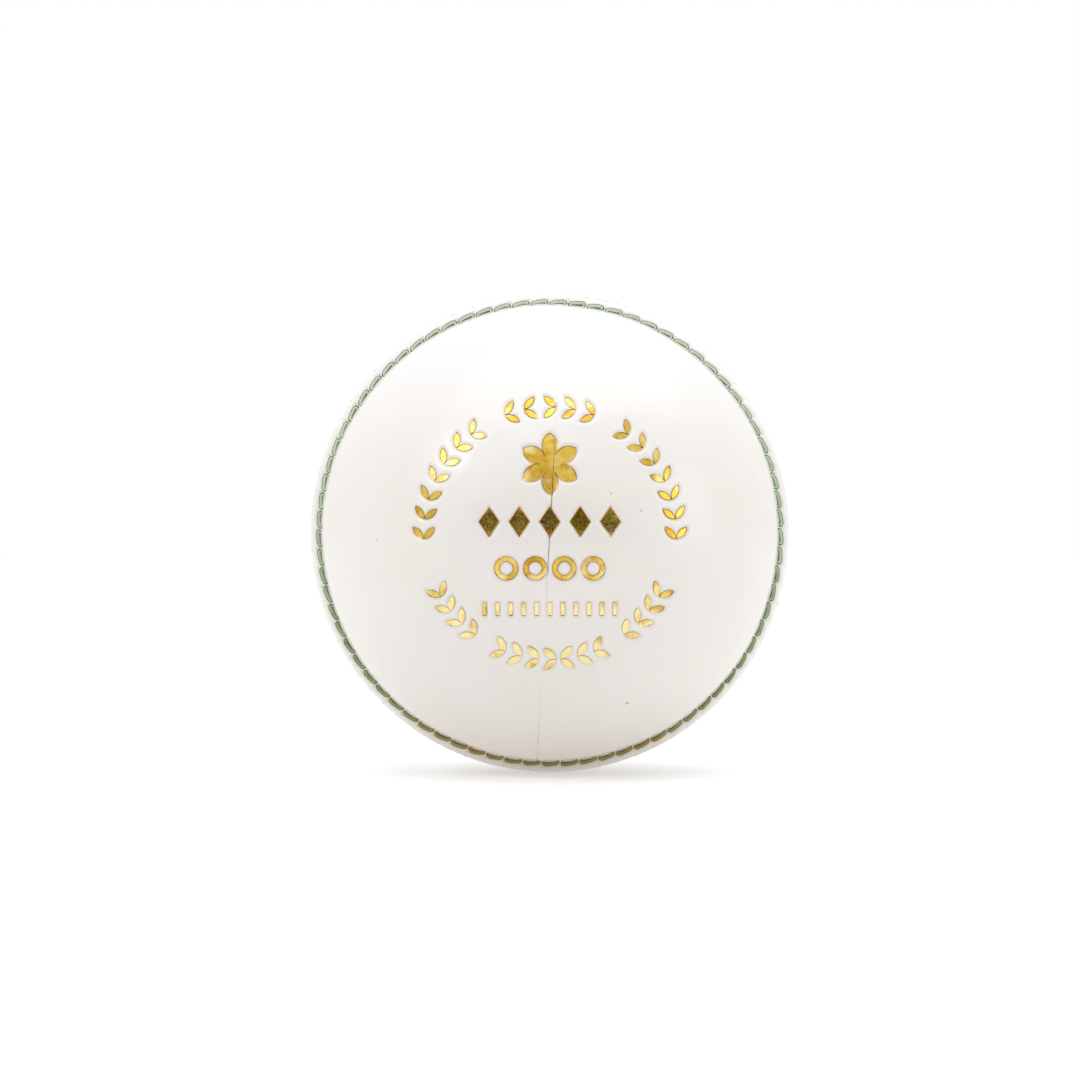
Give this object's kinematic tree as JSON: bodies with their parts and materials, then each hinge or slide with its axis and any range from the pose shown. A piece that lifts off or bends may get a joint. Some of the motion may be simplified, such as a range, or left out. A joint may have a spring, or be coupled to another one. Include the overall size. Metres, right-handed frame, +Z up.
{
  "type": "cricket ball",
  "caption": "White leather cricket ball with a raised stitched seam, sewn leather quarters, a quilted cork and worsted centre and gold stamped ornaments.",
  "frame": {"origin": "centre of the ball, where the plane in which the two leather cups meet crosses the line through both poles", "axes": "+Y runs from the stamped front pole to the plain back pole, at right angles to the main seam; +Z is up as the stamp stands; +X is to the right as the stamp is seen"},
  "size_m": [0.0728, 0.0714, 0.0728],
  "materials": {
    "cork": "natural cork",
    "worsted": "wound wool yarn",
    "lining_leather": "undyed split leather",
    "white_leather": "lacquered, with a soft gloss",
    "quarter_thread": "linen thread",
    "green_thread": "waxed, glossy",
    "gold_foil": "hot-pressed gold foil"
  },
  "bodies": {
    "root": {"cork_nucleus": "cork", "yarn_winding_1": "worsted", "yarn_winding_2": "worsted", "yarn_winding_3": "worsted", "yarn_winding_4": "worsted", "yarn_winding_5": "worsted", "cork_strips_1": "cork", "cork_strips_2": "cork", "cork_strips_3": "cork", "cork_strips_4": "cork", "lining_front": "lining_leather", "lining_back": "lining_leather", "leather_front_left": "white_leather", "leather_front_right": "white_leather", "leather_back_upper": "white_leather", "leather_back_lower": "white_leather", "quarter_seam_thread_front": "quarter_thread", "quarter_seam_thread_back": "quarter_thread", "closing_stitching_front": "green_thread", "closing_stitching_back": "green_thread", "inner_seam_stitching_front": "green_thread", "inner_seam_stitching_back": "green_thread", "outer_seam_stitching_front": "green_thread", "outer_seam_stitching_back": "green_thread", "gold_foil_stamp": "gold_foil"}
  },
  "joints": []
}
